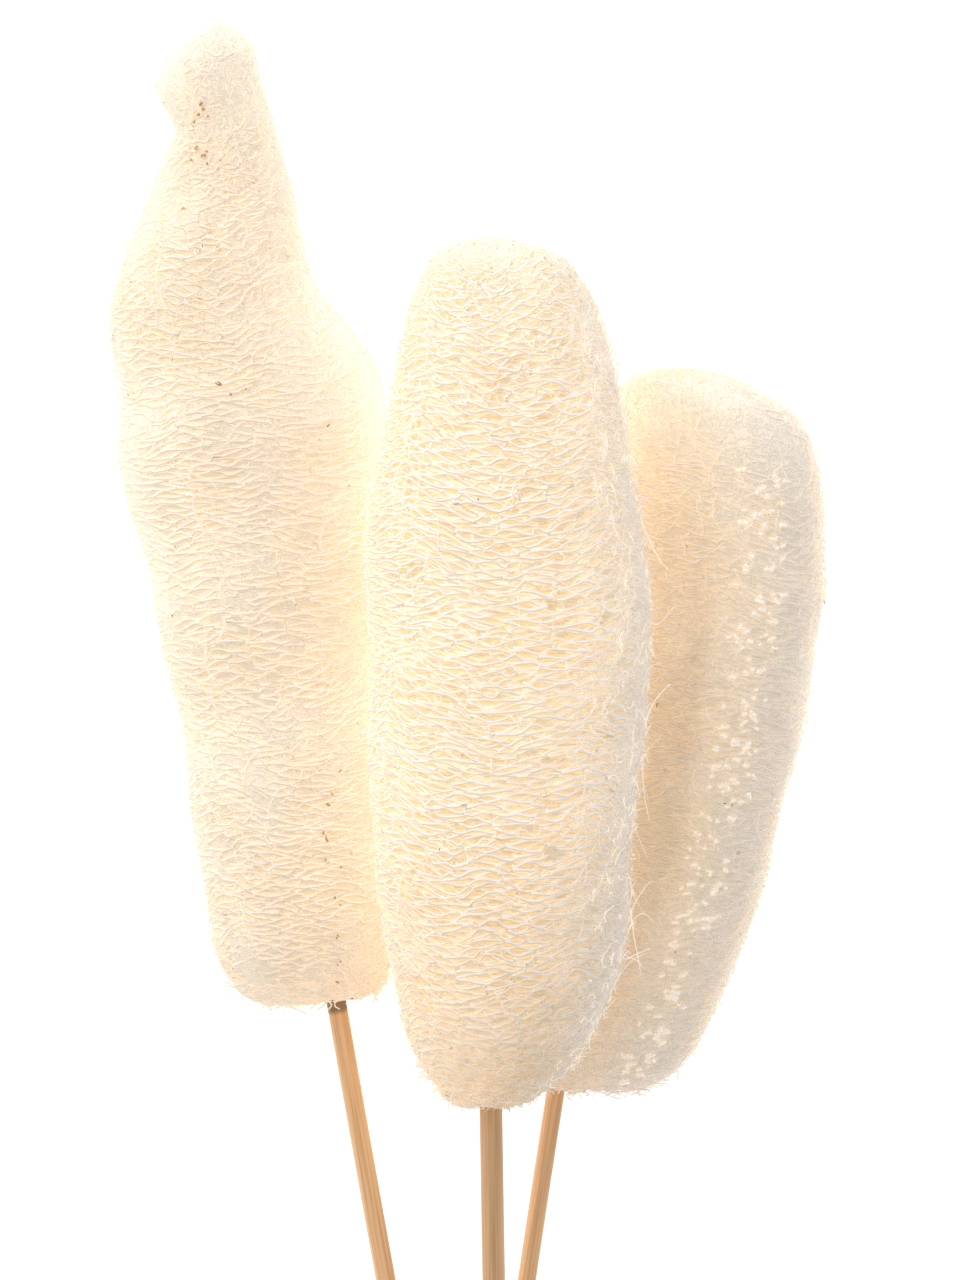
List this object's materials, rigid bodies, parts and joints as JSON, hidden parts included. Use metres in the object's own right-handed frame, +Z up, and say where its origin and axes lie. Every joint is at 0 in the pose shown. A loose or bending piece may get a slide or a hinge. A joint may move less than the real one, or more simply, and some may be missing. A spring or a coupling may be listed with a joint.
{
  "type": "bunch of bleached luffa stems",
  "caption": "Loose bunch of bleached luffa gourd heads with a raised fibre net, each on a long cane stem, laid down with crossed stems.",
  "frame": {"origin": "middle of the bunch's outer box, at the height of the surface it lies on", "axes": "+Z up from the surface; +Y from the cut ends of the stems to the tips of the heads; +X towards the shortest head"},
  "size_m": [0.1464, 0.5488, 0.0806],
  "materials": {
    "luffa_fibre": "matte",
    "cane": "satin"
  },
  "bodies": {
    "root": {"luffa_left": "luffa_fibre", "luffa_middle": "luffa_fibre", "luffa_right": "luffa_fibre", "stem_left": "cane", "stem_middle": "cane", "stem_right": "cane"}
  },
  "joints": []
}
